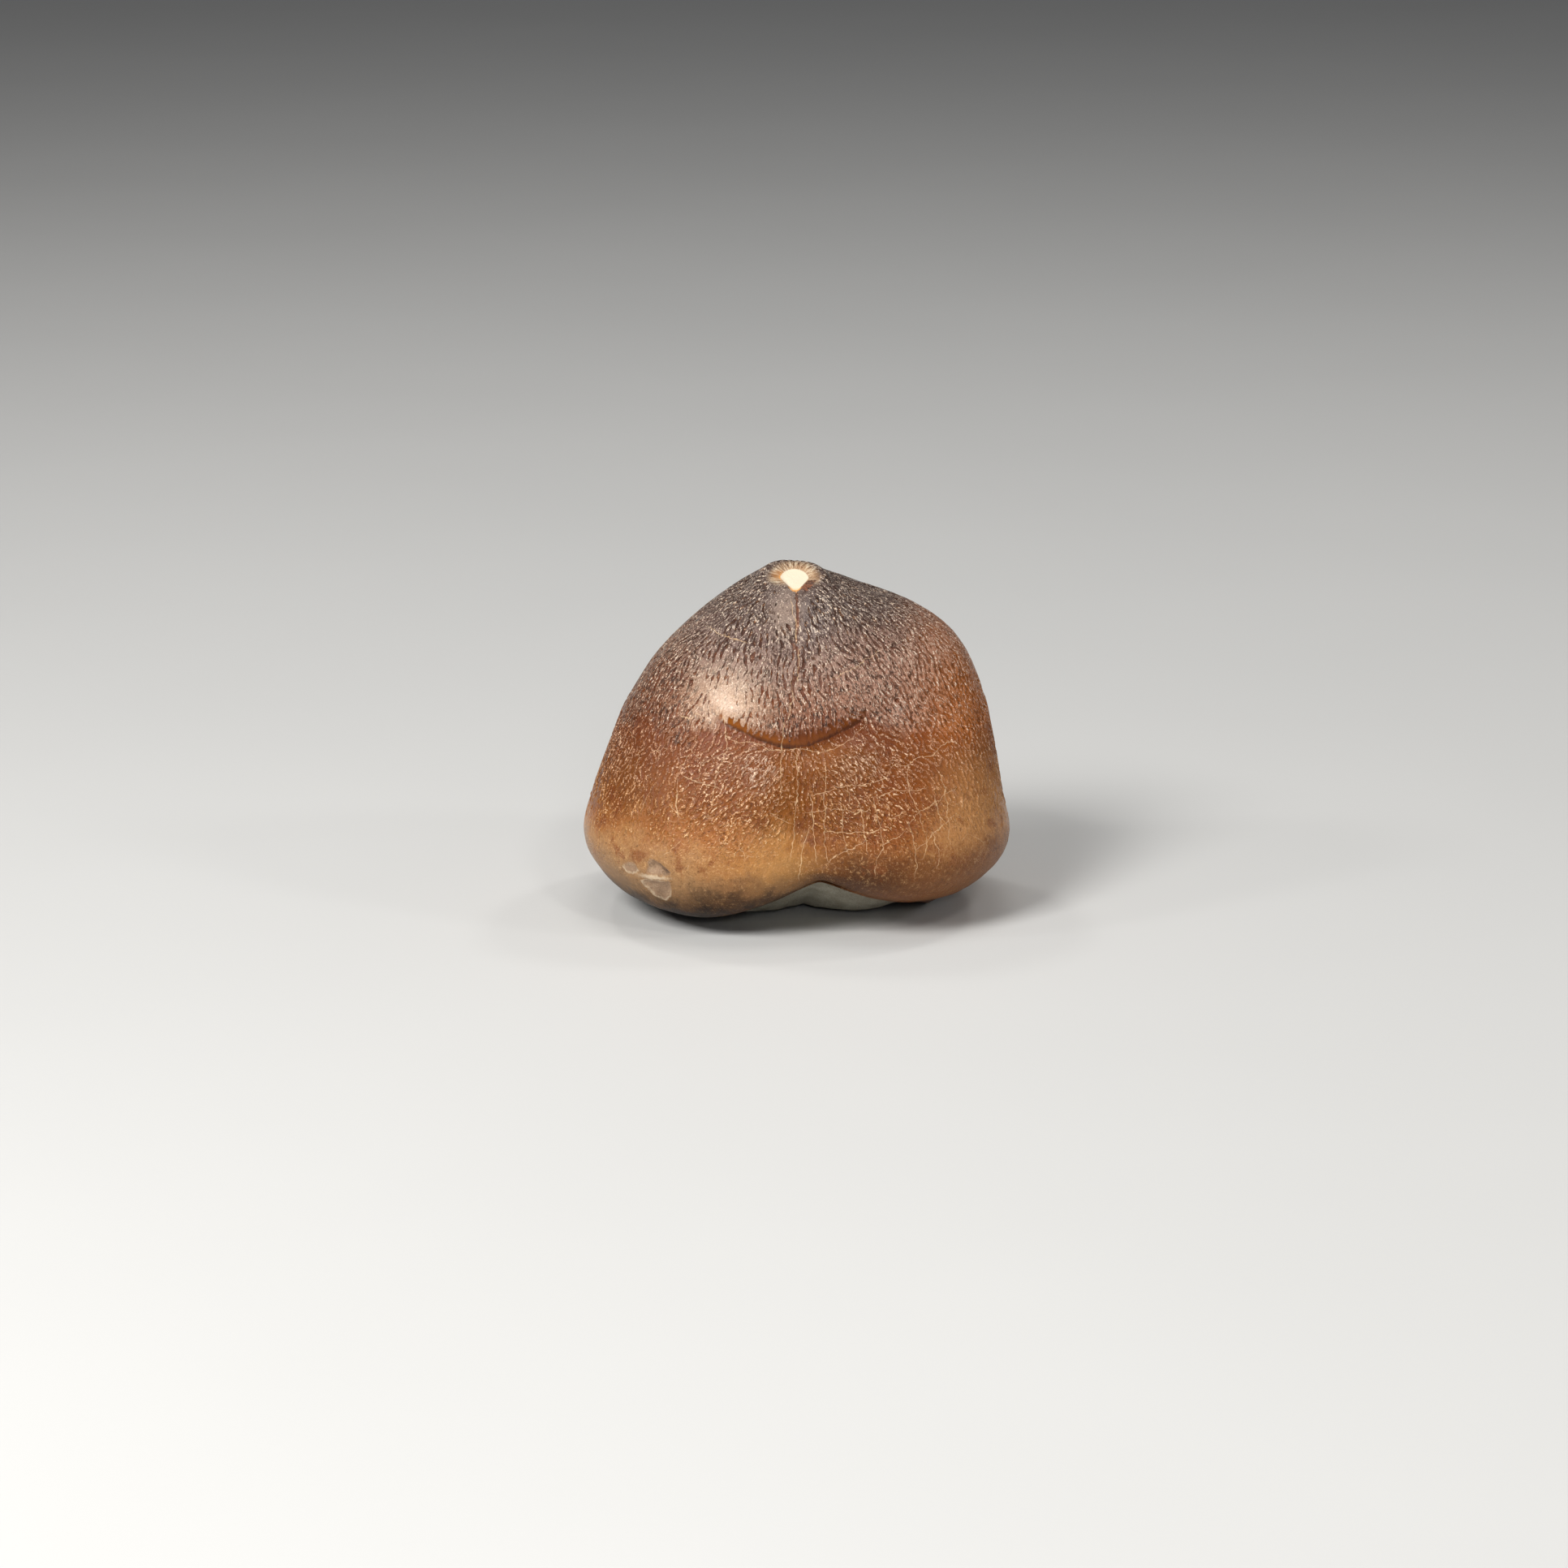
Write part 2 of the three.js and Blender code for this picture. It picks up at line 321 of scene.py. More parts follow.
CHIP_WANDER = ((0.06, 0.35, 24), (0.03, 0.15, 26))  # moves the outlines
CORE = Group(x=-0.16, y=-0.4, radius=0.79, round=0.14, sunk=0.05)
CORE_EDGES = (  # each cut across the core as a point (x, y) and its direction out
    (-0.97, -0.13, -0.79, -0.61), (0.66, -0.22, 0.81, -0.58), (-0.15, -1.12, 0.1, -0.99),
)
CALM = Group(x=-3.55, z=11.85, size=1.5)  # a smoother patch where the light pools
LEAN = Group(turn=20, x=(0.8, 2.8), low=(10.0, 11.2), high=(14.2, 15.8))  # of the upper right
FAN = Group(turn=48.0, middle=0.3, spread=(0.1, 1.6), sides=(4.5, 8.0))  # of the ribs, in degrees
FLOW_WANDER = ((math.radians(22), 1.1, 7), (math.radians(16), 0.5, 8))
WAVES = Group(count=15000, length=0.31, shorter=0.04, vary=(0.82, 1.18), scatter=15)
SLOT = 0.075  # depth of the slots between the plateaus of the upper part
RIB = 0.035  # height of the short ribs below the step
BAND = Group(height=0.42, sunk=0.05, half=4.0)  # the smooth amber band along the step
PLATEAUS = Group(low=8.8, high=11.4)  # where they begin and are full, away from the step
PLATEAU_WANDER = ((0.8, 1.4, 4), (0.4, 0.5, 6))
BREAKS = ((0.5, 0.45, 11), (0.9, 0.24, 12))  # where slots and ribs are broken up
SWELLS = ((0.035, 2.6, 21), (0.016, 0.9, 22), (0.008, 0.4, 23))
WALL_ROUGH = ((0.05, 0.5, 31), (0.03, 0.2, 32))

FINE = Group(tip=0.058, front=0.077, back=0.125, base=0.17, down=1.22, rim=0.25)
FINE_TIP = (14.6, 16)  # heights between which the points draw closer
FINE_BASE = (1.1, 2.3)
WALL_ROWS = (0, 0.02, 0.06, 0.12, 0.2, 0.3, 0.4, 0.5, 0.6, 0.7, 0.8, 0.88, 0.95)
FAR_OFF = 10  # added to a distance to rule a point out


def spacing(z, back):
    """How far apart points are at a height, with back from 0 in front to 1 behind."""
    fine = FINE.front + (FINE.back - FINE.front) * back
    fine = fine + (FINE.tip - fine) * ramp(*FINE_TIP, z) * (1 - back)
    return fine + (FINE.base - fine) * (1 - ramp(*FINE_BASE, z))


def backness(angle):
    return ramp(-0.1, 0.6, np.sin(angle))


def crown_rings():
    """Rings from the tip to the cavity's ceiling: (angles, t or None, u or None)."""
    steps = np.linspace(0, 1, 4001)
    line = enamel(np.full_like(steps, -math.pi / 2), steps)
    run = np.linalg.norm(np.diff(line, axis=0), axis=1)
    total = np.concatenate([[0], np.cumsum(run / spacing(line[1:, 2], 0) / FINE.down)])
    count = round(total[-1])
    rows = np.interp(np.arange(1, count + 1) / count * total[-1], total, steps)

    def gap(angle, points):
        return spacing(points[:, 2], backness(angle))

    rings = []
    for k, t in enumerate(rows):
        ring = spread(lambda a, t=t: enamel(a, np.full_like(a, t)), gap, 0.5 * (k % 2))
        rings.append((ring, t, None))
    for k, u in enumerate(WALL_ROWS):
        coarse = FINE.rim * (0.6 + 2 * u)
        ring = spread(lambda a, u=u: cavity(a, u), lambda a, p, c=coarse: c, 0.5 * (k % 2))
        rings.append((ring, None, u))
    return rings


def build_crown():
    rings = crown_rings()
    angles = [ring[0] for ring in rings]
    is_wall = np.concatenate([np.full(len(a), t is None) for a, t, u in rings])
    angle = np.concatenate(angles)
    t = np.concatenate([np.full(len(a), 1.0 if t is None else t) for a, t, u in rings])
    points = enamel(angle, t)
    start = 0
    for a, _, u in rings:
        if u is not None:
            points[start : start + len(a)] = cavity(a, u)
        start += len(a)

    # The surface's own directions: down the crown, round it and out of it.
    tiny = 1e-3
    top = np.minimum(t, 1 - tiny)
    down = enamel(angle, top + tiny) - enamel(angle, top - tiny)
    around = enamel(angle + tiny, t) - enamel(angle - tiny, t)
    out = np.cross(down, around)
    out /= np.maximum(np.linalg.norm(out, axis=1, keepdims=True), 1e-12)
    around /= np.maximum(np.linalg.norm(around, axis=1, keepdims=True), 1e-12)
    down = np.cross(around, out)

    skin = ~is_wall
    relief, numbers = fine_relief(points[skin], angle[skin], around[skin], down[skin])
    moved = points.copy()
    moved[skin] += out[skin] * relief[:, None]
    moved[is_wall, 2] += np.abs(layered(points, WALL_ROUGH)[is_wall])
    moved[:, 2] = np.maximum(moved[:, 2], 0)
    whole = {"wall": np.append(is_wall.astype(float), [0, 1])}
    for key, values in numbers.items():
        whole[key] = np.zeros(len(points) + 2)
        whole[key][: len(points)][skin] = values
        whole[key][-2] = values[0]
    ends = [enamel(np.zeros(1), np.zeros(1))[0], cavity(np.zeros(1), 1)[0]]
    return make_mesh("crown_enamel", np.concatenate([moved, ends]), cap_off(angles, len(moved)), whole)


def flow_angle(points):
    """How far the wrinkles turn from straight down, positive to the right in front."""
    x, y, z = points.T
    front = ramp(0.5, 3.5, -y)
    off = x - FAN.middle
    fan = ramp(*FAN.spread, np.abs(off)) * (1 - 0.75 * ramp(*FAN.sides, np.abs(x)))
    low = (1 - ramp(9.3, 11.2, z)) * ramp(3.0, 5.5, z)
    turn = math.radians(FAN.turn) * np.sign(off) * fan * low * front
    upper = ramp(*LEAN.x, x) * ramp(*LEAN.low, z) * (1 - ramp(*LEAN.high, z))
    return turn + math.radians(LEAN.turn) * upper * front + layered(points, FLOW_WANDER)


def wrinkles(points, angle, around, down, rng):
    """The complex sum of short waves whose real part is the height of the enamel's wrinkles."""
    z = points[:, 2]
    back = backness(angle)
    low = 1 - ramp(9.2, 10.8, z)
    weight = spacing(z, back) ** 2 * (1 + 2 * low) * ramp(1.5, 3, z)
    count = WAVES.count
    picked = rng.choice(len(points), count, replace=False, p=weight / weight.sum())
    low, back = low[picked], back[picked]
    scatter = math.radians(WAVES.scatter) * (1 + low)
    turn = flow_angle(points[picked]) + scatter * rng.normal(size=count)
    across = around[picked] * np.cos(turn)[:, None] - down[picked] * np.sin(turn)[:, None]
    length = (WAVES.length - WAVES.shorter * low) * (1 + 0.25 * back)
    length = length * rng.uniform(*WAVES.vary, count)
    right = ramp(1.5, 5, points[picked, 0]) * (1 - low)
    waves = Group(
        centres=points[picked],
        across=across,
        length=length,
        narrow=0.48 * length,
        long=length * (0.95 - 0.35 * low) * (1 + 0.6 * right),
        phase=rng.uniform(0, 2 * math.pi, count),
    )
    return stripes(points, waves)


def inside(x, z, outline):
    """How far inside a convex outline a point is, negative outside."""
    corners = np.array(outline)
    middle = corners.mean(0)
    depth = np.full(len(x), 99.0)
    for a, b in zip(corners, np.roll(corners, -1, axis=0)):
        normal = np.array([b[1] - a[1], a[0] - b[0]]) / np.hypot(*(b - a))
        if (middle - a) @ normal < 0:
            normal = -normal
        edge = (x - a[0]) * normal[0] + (z - a[1]) * normal[1]
        depth = np.minimum(depth, edge) - fillet(depth, edge, CHIP_ROUND)
    return depth


def core_gap(x, y):
    """Distance out from the edge of the tip's bare core."""
    gap = np.hypot(x - CORE.x, y - CORE.y) - CORE.radius
    for cx, cy, nx, ny in CORE_EDGES:
        edge = (x - cx) * nx + (y - cy) * ny
        gap = np.maximum(gap, edge) + fillet(gap, edge, CORE.round)
    return gap


def regions(points, front, crest):
    """How much each point is on the upper plateaus, and on the smooth band at their step."""
    z = points[:, 2]
    lean = points[:, 0] - TIP.x * ramp(TIP.start, TIP.end, z)
    above = above_crescent(lean, z)
    stepped = np.exp(-((lean / BAND.half) ** 6)) * front
    top = BAND.height + 0.35 * bell(lean, 0.6, 1.0)
    ragged = above - top + 0.3 * noise(points, 0.33, 3) + 0.28 * crest
    gradual = ramp(PLATEAUS.low, PLATEAUS.high, z + layered(points, PLATEAU_WANDER))
    high = ramp(-0.1, 0.1, ragged) * stepped + gradual * (1 - stepped)
    over_edge = ramp(-0.12, 0.04, above + 0.05 * noise(points, 0.4, 9))
    return high, stepped * (1 - ramp(-0.12, 0.12, ragged)) * over_edge


def hand_marks(points):
    """How much the listed grooves and pits help to open slots."""
    x, y, z = points.T
    heights, sides = zip(*reversed(GROOVE))
    off = np.abs(x - np.interp(z, heights, sides)) + FAR_OFF * (y > 0)
    deeper = 2.2 + 2.4 * ramp(14.8, 15.4, z)
    marks = ramp(11.6, 12.2, z) * (1 - ramp(16.7, 16.85, z))
    marks = marks * (deeper * bell(off, 0, 0.075) - 0.8 * bell(off, 0.22, 0.1))
    reach = ramp(12.8, 13.1, z) * (1 - ramp(14.2, 14.6, z)) * (y < 0)
    for beside in GROOVE_PAIR:
        marks += 1.7 * bell(x, beside, 0.06) * reach
    for pit in PITS:
        marks += 2.6 * bell(np.linalg.norm(points - pit, axis=1), 0, 0.11)
    return marks


def fine_relief(points, angle, around, down):
    """Height to add to each point along its normal, and the numbers the material reads."""
    rng = np.random.default_rng(SEED)
    x, y, z = points.T
    front = ramp(0.6, 2.6, -y)
    total = wrinkles(points, angle, around, down, rng)
    strength = np.abs(total)
    wave = total / np.maximum(strength, 1e-6)
    crest = wave.real
    high, band = regions(points, front, crest)
    below = 1 - ramp(0.5, 1, high)

    # Calm and plain are smoother patches: by the pool of light, and below the core.
    calm = np.exp(-(((x - CALM.x) ** 2 + (z - CALM.z) ** 2) / CALM.size ** 2)) * front
    plain = ramp(15.1, 16.0, z) * ramp(0.5, 1.2, -y)
    plain *= (1 - ramp(1.2, 1.8, -x)) * (1 - ramp(0.2, 1.1, x))
    fading = ramp(3.4, 7.0, z + 0.7 * noise(points, 1.2, 5))
    broken = layered(points, BREAKS) + 0.3 * (strength - 1.2)
    press = broken - 0.2 - 3 * (1 - ramp(0, 0.5, high)) - 0.9 * calm - 1.2 * plain
    lift = broken - 3 * (1 - below * (1 - band)) - 1.9 * (1 - fading) + 0.15
    press += hand_marks(points)
    gap = core_gap(x, y) + FAR_OFF * (z < 16)
    press -= 3 * (1 - ramp(0.3, 0.9, gap)) * ramp(-1.25, -1.0, y)

    relief = -SLOT * ramp(0.15, 0.8, press - crest) + RIB * ramp(0.35, 0.95, lift + crest)
    relief += 0.01 * crest * below * (0.3 + 0.7 * fading) - BAND.sunk * band
    relief += layered(points, SWELLS) - CORE.sunk * (1 - ramp(-0.12, 0.0, gap))

    smooth = np.maximum(np.maximum(0.8 * plain, calm), 0.6 * band)
    numbers = dict(wave_cos=crest, wave_sin=wave.imag, press=press, lift=lift)
    numbers |= dict(high=high, band=band, smooth=smooth)
    x_chip, z_chip = (v + layered(points, CHIP_WANDER, i) for i, v in enumerate((x, z)))
    for name, outline in CHIPS.items():
        depth = np.where(y < 0, inside(x_chip, z_chip, outline), -9)
        relief -= CHIP_DEPTH[name] * ramp(-0.02, CHIP_EDGE[name], depth)
        numbers[name] = np.maximum(depth, -1)
    return relief, numbers


crown = build_crown()


# -------- the sediment

FILL = Group(margin=0.03, recess=0.03, middle=0.26, slope=0.68, soft=0.3, ceiling=0.1, step=0.14)
FILL_TOP_ROWS = (0.93, 0.82, 0.7, 0.56, 0.42, 0.28, 0.16, 0.07, 0.02)
FILL_BASE_ROWS = 46
FILL_ROUGH = ((0.035, 0.5, 41), (0.02, 0.22, 42), (0.06, 1.6, 43))


def build_fill():
    def upper(angle, u):
        return cavity(angle, u, FILL.margin + 0.12 * ramp(0, 0.3, u), FILL.ceiling)

    def under(angle, v):
        edge = cavity(angle, 0, FILL.margin)
        fallen = FILL.slope * v * np.hypot(edge[..., 0], edge[..., 1])
        left = edge[..., 2] + FILL.recess - FILL.middle - fallen
        z = FILL.middle + (left + np.hypot(left, FILL.soft)) / 2
        return np.stack([edge[..., 0] * (1 - v), edge[..., 1] * (1 - v), z], -1)

    angles, points = [], []
    for k, u in enumerate(FILL_TOP_ROWS):
        step = FILL.step * (1 + 3 * u)
        angles.append(spread(lambda a, u=u: upper(a, u), lambda a, p, s=step: s, 0.5 * (k % 2)))
        points.append(upper(angles[-1], u))
    for k in range(FILL_BASE_ROWS):
        v = k / FILL_BASE_ROWS
        angles.append(spread(lambda a, v=v: under(a, v), lambda a, p: FILL.step, 0.5 * (k % 2)))
        low = under(angles[-1], v)
        low[:, 2] += layered(low, FILL_ROUGH) * min(1, 0.2 + 3 * v)
        points.append(low)
    points.append([cavity(np.zeros(1), 1, 0, FILL.ceiling)[0], [0, 0, FILL.middle]])
    points = np.concatenate(points)
    return make_mesh("matrix_sediment", points, cap_off(angles, len(points) - 2), {})


fill = build_fill()

# -------- materials


def rgb(code):
    """A screen colour, as the linear values that sockets take."""
    parts = (v / 255 for v in code.to_bytes(3, "big"))
    return tuple(v / 12.92 if v < 0.0405 else ((v + 0.055) / 1.055) ** 2.4 for v in parts) + (1,)


def operation(name):
    """A method of Field that adds one arithmetic node."""
    return lambda self, *others: self.paint.math(name, self, *others)


class Field:
    """A number at each point of a material, worked out by plain arithmetic."""

    def __init__(self, paint, socket):
        self.paint, self.socket = paint, socket

    __add__ = __radd__ = operation("ADD")
    __mul__ = __rmul__ = operation("MULTIPLY")
    __sub__, __truediv__ = operation("SUBTRACT"), operation("DIVIDE")
    most, least, size = operation("MAXIMUM"), operation("MINIMUM"), operation("ABSOLUTE")
    root, turn_from = operation("SQRT"), operation("ARCTAN2")

    def __rsub__(self, other):
        return self.paint.math("SUBTRACT", other, self)

    def __neg__(self):
        return self * -1

    def ramp(self, low, high, start=0, end=1):
        values = (self, low, high, start, end)
        return self.paint.field("MapRange", values, interpolation_type="SMOOTHSTEP")

    def band(self, low, high, soft):
        return self.ramp(low - soft, low + soft) * self.ramp(high - soft, high + soft, 1, 0)


class Paint:
    """Builds one material: its nodes are asked for by what they mean on the tooth.

    A node is made after the ones that feed it. Cycles works nodes out in the order they were
    made, and a large material turns black when too many results have to wait.
    """

    def __init__(self, name):
        self.material = bpy.data.materials.new(name)
        self.material.use_nodes = True
        self.tree = self.material.node_tree
        self.tree.nodes.clear()
        where = self.node("TexCoord").outputs["Object"]
        values = (where, (1 / MM,) * 3, tuple(-MIDDLE))
        self.place = self.node("VectorMath", values, operation="MULTIPLY_ADD").outputs[0]
        split = self.node("SeparateXYZ", [self.place])  # millimetres from the axis
        self.x, self.y, self.z = (Field(self, out) for out in split.outputs)

    def node(self, kind, values=(), **settings):
        """Makes a node. Its inputs, in order or by name, are numbers, fields or sockets."""
        node = self.tree.nodes.new("ShaderNode" + kind)
        for key, value in settings.items():
            setattr(node, key, value)
        for key, value in values.items() if isinstance(values, dict) else enumerate(values):
            value = value.socket if isinstance(value, Field) else value
            if isinstance(value, bpy.types.NodeSocket):
                self.tree.links.new(value, node.inputs[key])
            else:
                node.inputs[key].default_value = value
        return node

    def field(self, kind, values=(), out=0, **settings):
        return Field(self, self.node(kind, values, **settings).outputs[out])

    def math(self, name, *values):
        return self.field("Math", values, operation=name)

    def vector(self, x, y, z):
        return self.node("CombineXYZ", (x, y, z)).outputs[0]

    def number(self, name):
        return self.field("Attribute", out="Fac", attribute_name=name)

    def noise(self, size, detail=2, rough=0.5, seed=0, place=None):
        """Noise mostly from -2 to 2, its bumps size millimetres across."""
        aside = (17.3 * seed, 9.1 * seed, 5.7 * seed)
        place = self.node("VectorMath", (place or self.place, aside), operation="ADD").outputs[0]
        values = dict(Vector=place, Scale=1 / size, Detail=detail, Roughness=rough)
        return self.math("MULTIPLY_ADD", self.field("TexNoise", values), 10, -5)

    def colours(self, value, stops):
        """Colours along a value, as rows of the value and its colour."""
        low, high = stops[0][0], stops[-1][0]
        node = self.node("ValToRGB", [(value - low) * (1 / (high - low))])
        node.color_ramp.interpolation = "EASE"
        marks = node.color_ramp.elements
        while len(marks) < len(stops):
            marks.new(0.5)
        for mark, (at, _) in zip(marks, stops):
            mark.position = (at - low) / (high - low)
        for mark, (_, colour) in zip(marks, stops):
            mark.color = rgb(colour)
        return node.outputs["Color"]

    def mix(self, amount, one, other, how="MIX"):
        one, other = (rgb(c) if isinstance(c, int) else c for c in (one, other))
        how = dict(data_type="RGBA", blend_type=how, clamp_factor=True)
        return self.node("Mix", {0: amount, 6: one, 7: other}, **how).outputs[2]

    def curve(self, value, points):
        """The height of a smooth curve through given points of (value, height)."""
        (low, high), (bottom, top) = ((min(v), max(v)) for v in zip(*points))
        node = self.node("FloatCurve", dict(Value=(value - low) * (1 / (high - low))))
        marks = node.mapping.curves[0].points
        scaled = sorted(((v - low) / (high - low), (h - bottom) / (top - bottom)) for v, h in points)
        marks[0].location, marks[1].location = scaled[0], scaled[-1]
        for mark in scaled[1:-1]:
            marks.new(*mark)
        node.mapping.update()
        return Field(self, node.outputs[0]) * (top - bottom) + bottom

    def line(self, value, across, points, width, fade=0.25):
        """1 on a thin line and 0 beside it: across follows a curve through points over value."""
        off = (across - self.curve(value, points)).size()
        ends = [v for v, _ in points]
        return off.ramp(width, width * 2.4, 1, 0) * value.band(min(ends), max(ends), fade)

    def cells(self, place, size, random):
        """Distance in millimetres to the nearest line of an irregular flat network."""
        values = dict(Vector=place, Scale=1 / size, Randomness=random)
        how = dict(feature="DISTANCE_TO_EDGE", voronoi_dimensions="2D")
        return self.field("TexVoronoi", values, "Distance", **how) * size

    def spot(self, u, v, width, height, soft=0.5):
        """1 inside an oval patch of two fields given as (field, middle), 0 outside."""
        a, b = ((field - middle) * (1 / half) for (field, middle), half in ((u, width), (v, height)))
        return (a * a + b * b).root().ramp(1 - soft, 1 + soft, 1, 0)

    def finish(self, colour, roughness, bump=None, **others):
        """Joins up the surface, with a bump in millimetres."""
        values = {"Base Color": colour, "Roughness": roughness}
        values.update((key.replace("_", " "), value) for key, value in others.items())
        shader = self.node("BsdfPrincipled", values)
        if bump is not None:
            bump = self.node("Bump", dict(Strength=1, Distance=MM, Height=bump))
            self.tree.links.new(bump.outputs[0], shader.inputs["Normal"])
        self.node("OutputMaterial", dict(Surface=shader.outputs[0]))
        return self.material


# Cracks across the front: those that run down are (z, x), those that run across are (x, z).
CRACKS_DOWN = [
    [(16.85, -0.45), (16, -0.25), (15.2, -0.05), (14.75, -0.1)],
    [(14.4, 0.13), (13.7, 0.03), (12.95, 0.02)],
    [(13, -0.3), (12.35, -0.22), (11.85, -0.33), (11.2, -0.46)],
    [(8.35, -6.2), (7.8, -6.05), (7.1, -6.1), (6.35, -5.8)],
    [(9.35, -7.8), (8.95, -8.05), (8.5, -8.2)],
    [(11.3, -3.8), (9.9, -3.6), (8.85, -4), (7.2, -4.3)],
    [(11.15, -0.65), (9.65, -0.8), (8.9, -0.85), (7.6, -0.8)],
    [(9.7, -0.2), (8.4, 0), (6.95, -0.1), (4.6, -0.3)],
    [(6.1, 0.7), (5.1, 0.3), (4.35, 0.15), (3.3, 0.05)],
    [(7.5, 0.65), (6.6, 0.8), (5.7, 0.8), (4.9, 0.9), (4.3, 1)],
    [(9.1, 1.35), (8.4, 1.45), (7.5, 1.35), (6.7, 1.4), (5.9, 1.35), (4.8, 1.45), (4.35, 1.6)],
    [(8, 2.55), (7.4, 2.65), (6.8, 2.25), (5.9, 2.3), (4.95, 2.55)],
    [(7.7, 2.7), (7, 3.15), (5.95, 3.35), (4.9, 3.5)],
    [(7.5, 3.75), (6.6, 4.05), (5.75, 4.2), (5.3, 4.3), (4.5, 4), (3.75, 3.9)],
    [(8.65, 5.55), (7.65, 5.65), (6.6, 6.1), (5.85, 6.35), (5.2, 6.5), (4.3, 6)],
    [(6.1, 5.65), (5.3, 5.85), (4.3, 6), (3.6, 5.95)],
    [(7.15, 6.95), (6.45, 7.15), (5.8, 7.25), (5.5, 6.9), (4.6, 7.15), (3.8, 6.95)],
    [(8.35, 7.05), (7.5, 7.45), (6.8, 7.55), (5.8, 7.65), (4.85, 7.75)],
]
CRACKS_ACROSS = [
    [(-3.65, 10.6), (-3.1, 10.15), (-2, 10.05), (-1.2, 9.75), (0.3, 9.85), (1, 9.65), (1.8, 9.8),
     (2.55, 10.1), (3.2, 10.6), (3.45, 10.8)],
    [(1.85, 8), (2.8, 8.05), (3.7, 8.15), (4.5, 8.35), (4.9, 8.8), (5.5, 8.7), (6.2, 9),
     (6.7, 8.95), (7.4, 9.35), (7.95, 9.4)],
    [(-5, 14.95), (-4.4, 15), (-3.9, 14.8), (-3.25, 14.7), (-2.6, 14.6)],
    [(-5.75, 8.4), (-5.25, 8.2), (-4.7, 8.1), (-3.85, 7.9)],
    [(-1.3, 6.75), (-0.75, 6.4), (-0.4, 6.25)],
    [(1.8, 13), (3, 13.5), (4.25, 14.05)],
    [(-6.05, 11.15), (-5.45, 11.05), (-5.1, 11.25), (-4.7, 11.15)],
    [(0.7, 7.6), (1.3, 7.7), (1.85, 7.9)],
    [(3.9, 7.5), (4.45, 7.55), (5.15, 7.7), (5.65, 7.65), (6.45, 7.55)],
    [(0.55, 6.7), (1.4, 6.9), (2.3, 6.95), (2.95, 6.85), (3.7, 7.15)],
    [(4.65, 6.45), (5.05, 6.6), (5.4, 6.7)],
    [(1.45, 5.8), (2.3, 5.85), (3.25, 5.85), (4.1, 6.05)],
    [(5.65, 6.15), (6.1, 6.55), (6.85, 6.85), (7.4, 7.15), (8, 7.4)],
    [(1.45, 4.25), (2.3, 4.85), (2.95, 5.15), (3.45, 5.6)],
    [(4.2, 5.25), (4.75, 5.45), (5.3, 5.75)],
    [(6.05, 4.95), (6.55, 5.3), (7.25, 5.8), (7.9, 6.2)],
]
CRACK = 0.0085  # half the width of a crack


def crack_network(p):
    """How much a point lies in a crack: long ones listed, and a web at the sides."""
    x, y, z = p.x, p.y, p.z
    shake = p.noise(0.5, 2, 0.6, seed=7)
    px = x + shake * 0.035
    pz = z + p.noise(0.5, 2, 0.6, seed=8) * 0.035
    width = CRACK * (1 + p.noise(0.3, 1, 0.5, seed=9).ramp(0.6, 2.5) * 1.5)
    lines = 0
    for points in CRACKS_DOWN:
        lines = p.line(pz, px, points, width).most(lines)
    for points in CRACKS_ACROSS:
        lines = p.line(px, pz, points, width).most(lines)

    along = x.turn_from(-y) * 9 + shake * 0.05
    up = z + p.noise(0.9, 2, 0.6, seed=10) * 0.07
    fade = p.noise(1.3, 2, 0.6, seed=11)
    web = p.cells(p.vector(along, up * 0.9, 0), 1.45, 0.9)
    drawn = patch(p, "cracked") * p.front
    where = (z.band(3.5, 10.5, 1.5) * 0.5 + fade * 0.3).ramp(0.5, 0.9)
    web = web.ramp(width * 0.8, width * 2, 1, 0) * where * (1 - drawn)
    return (lines * p.front).most(web * 0.75) * fade.ramp(-2, 0.8, 0.45, 1)


class Flow:
    """Noise in dashes that run down the crown in four rings, and fan out with the ribs."""

    def __init__(self, p):
        x, y, z = p.x, p.y, p.z
        dx = x - z.ramp(TIP.start, TIP.end, 0, TIP.x)
        radius = (dx * dx + y * y).root()
        turn = dx.turn_from(-y)
        drop = 18 - z
        run = (radius * radius + drop * drop).root() * 0.3
        octave = p.math("LOGARITHM", radius.most(1.5) / 1.5, 2)
        off = x - FAN.middle
        reach = z.band(3.8, 10, 1) * y.ramp(-3, -1, 1, 0)
        fan = off.size().ramp(*FAN.spread) * x.size().ramp(*FAN.sides, 1, 0.2) * reach
        straight = 1 - fan
        self.p, self.parts = p, []
        for k in range(4):
            weight = (1 - (octave - k).size().least(1)) * straight
            self.parts.append((p.vector(turn * (1.5 * 2**k), run, 0), weight))
        along = turn * 8.5
        side = p.math("SIGN", off)
        slant = math.radians(FAN.turn)
        c, n = math.cos(slant), side * math.sin(slant)
        wobble = p.noise(0.9, 1, 0.5, seed=25) * 0.1
        slanted = p.vector(along * c + z * n + wobble, (z * c - along * n) * 0.33, 0)
        self.parts.append((slanted, fan))

    def dashes(self, width, seed):
        total = 0
        for k, (place, weight) in enumerate(self.parts):
            total = self.p.noise(width, 2, 0.6, seed=seed + k, place=place) * weight + total
        return total


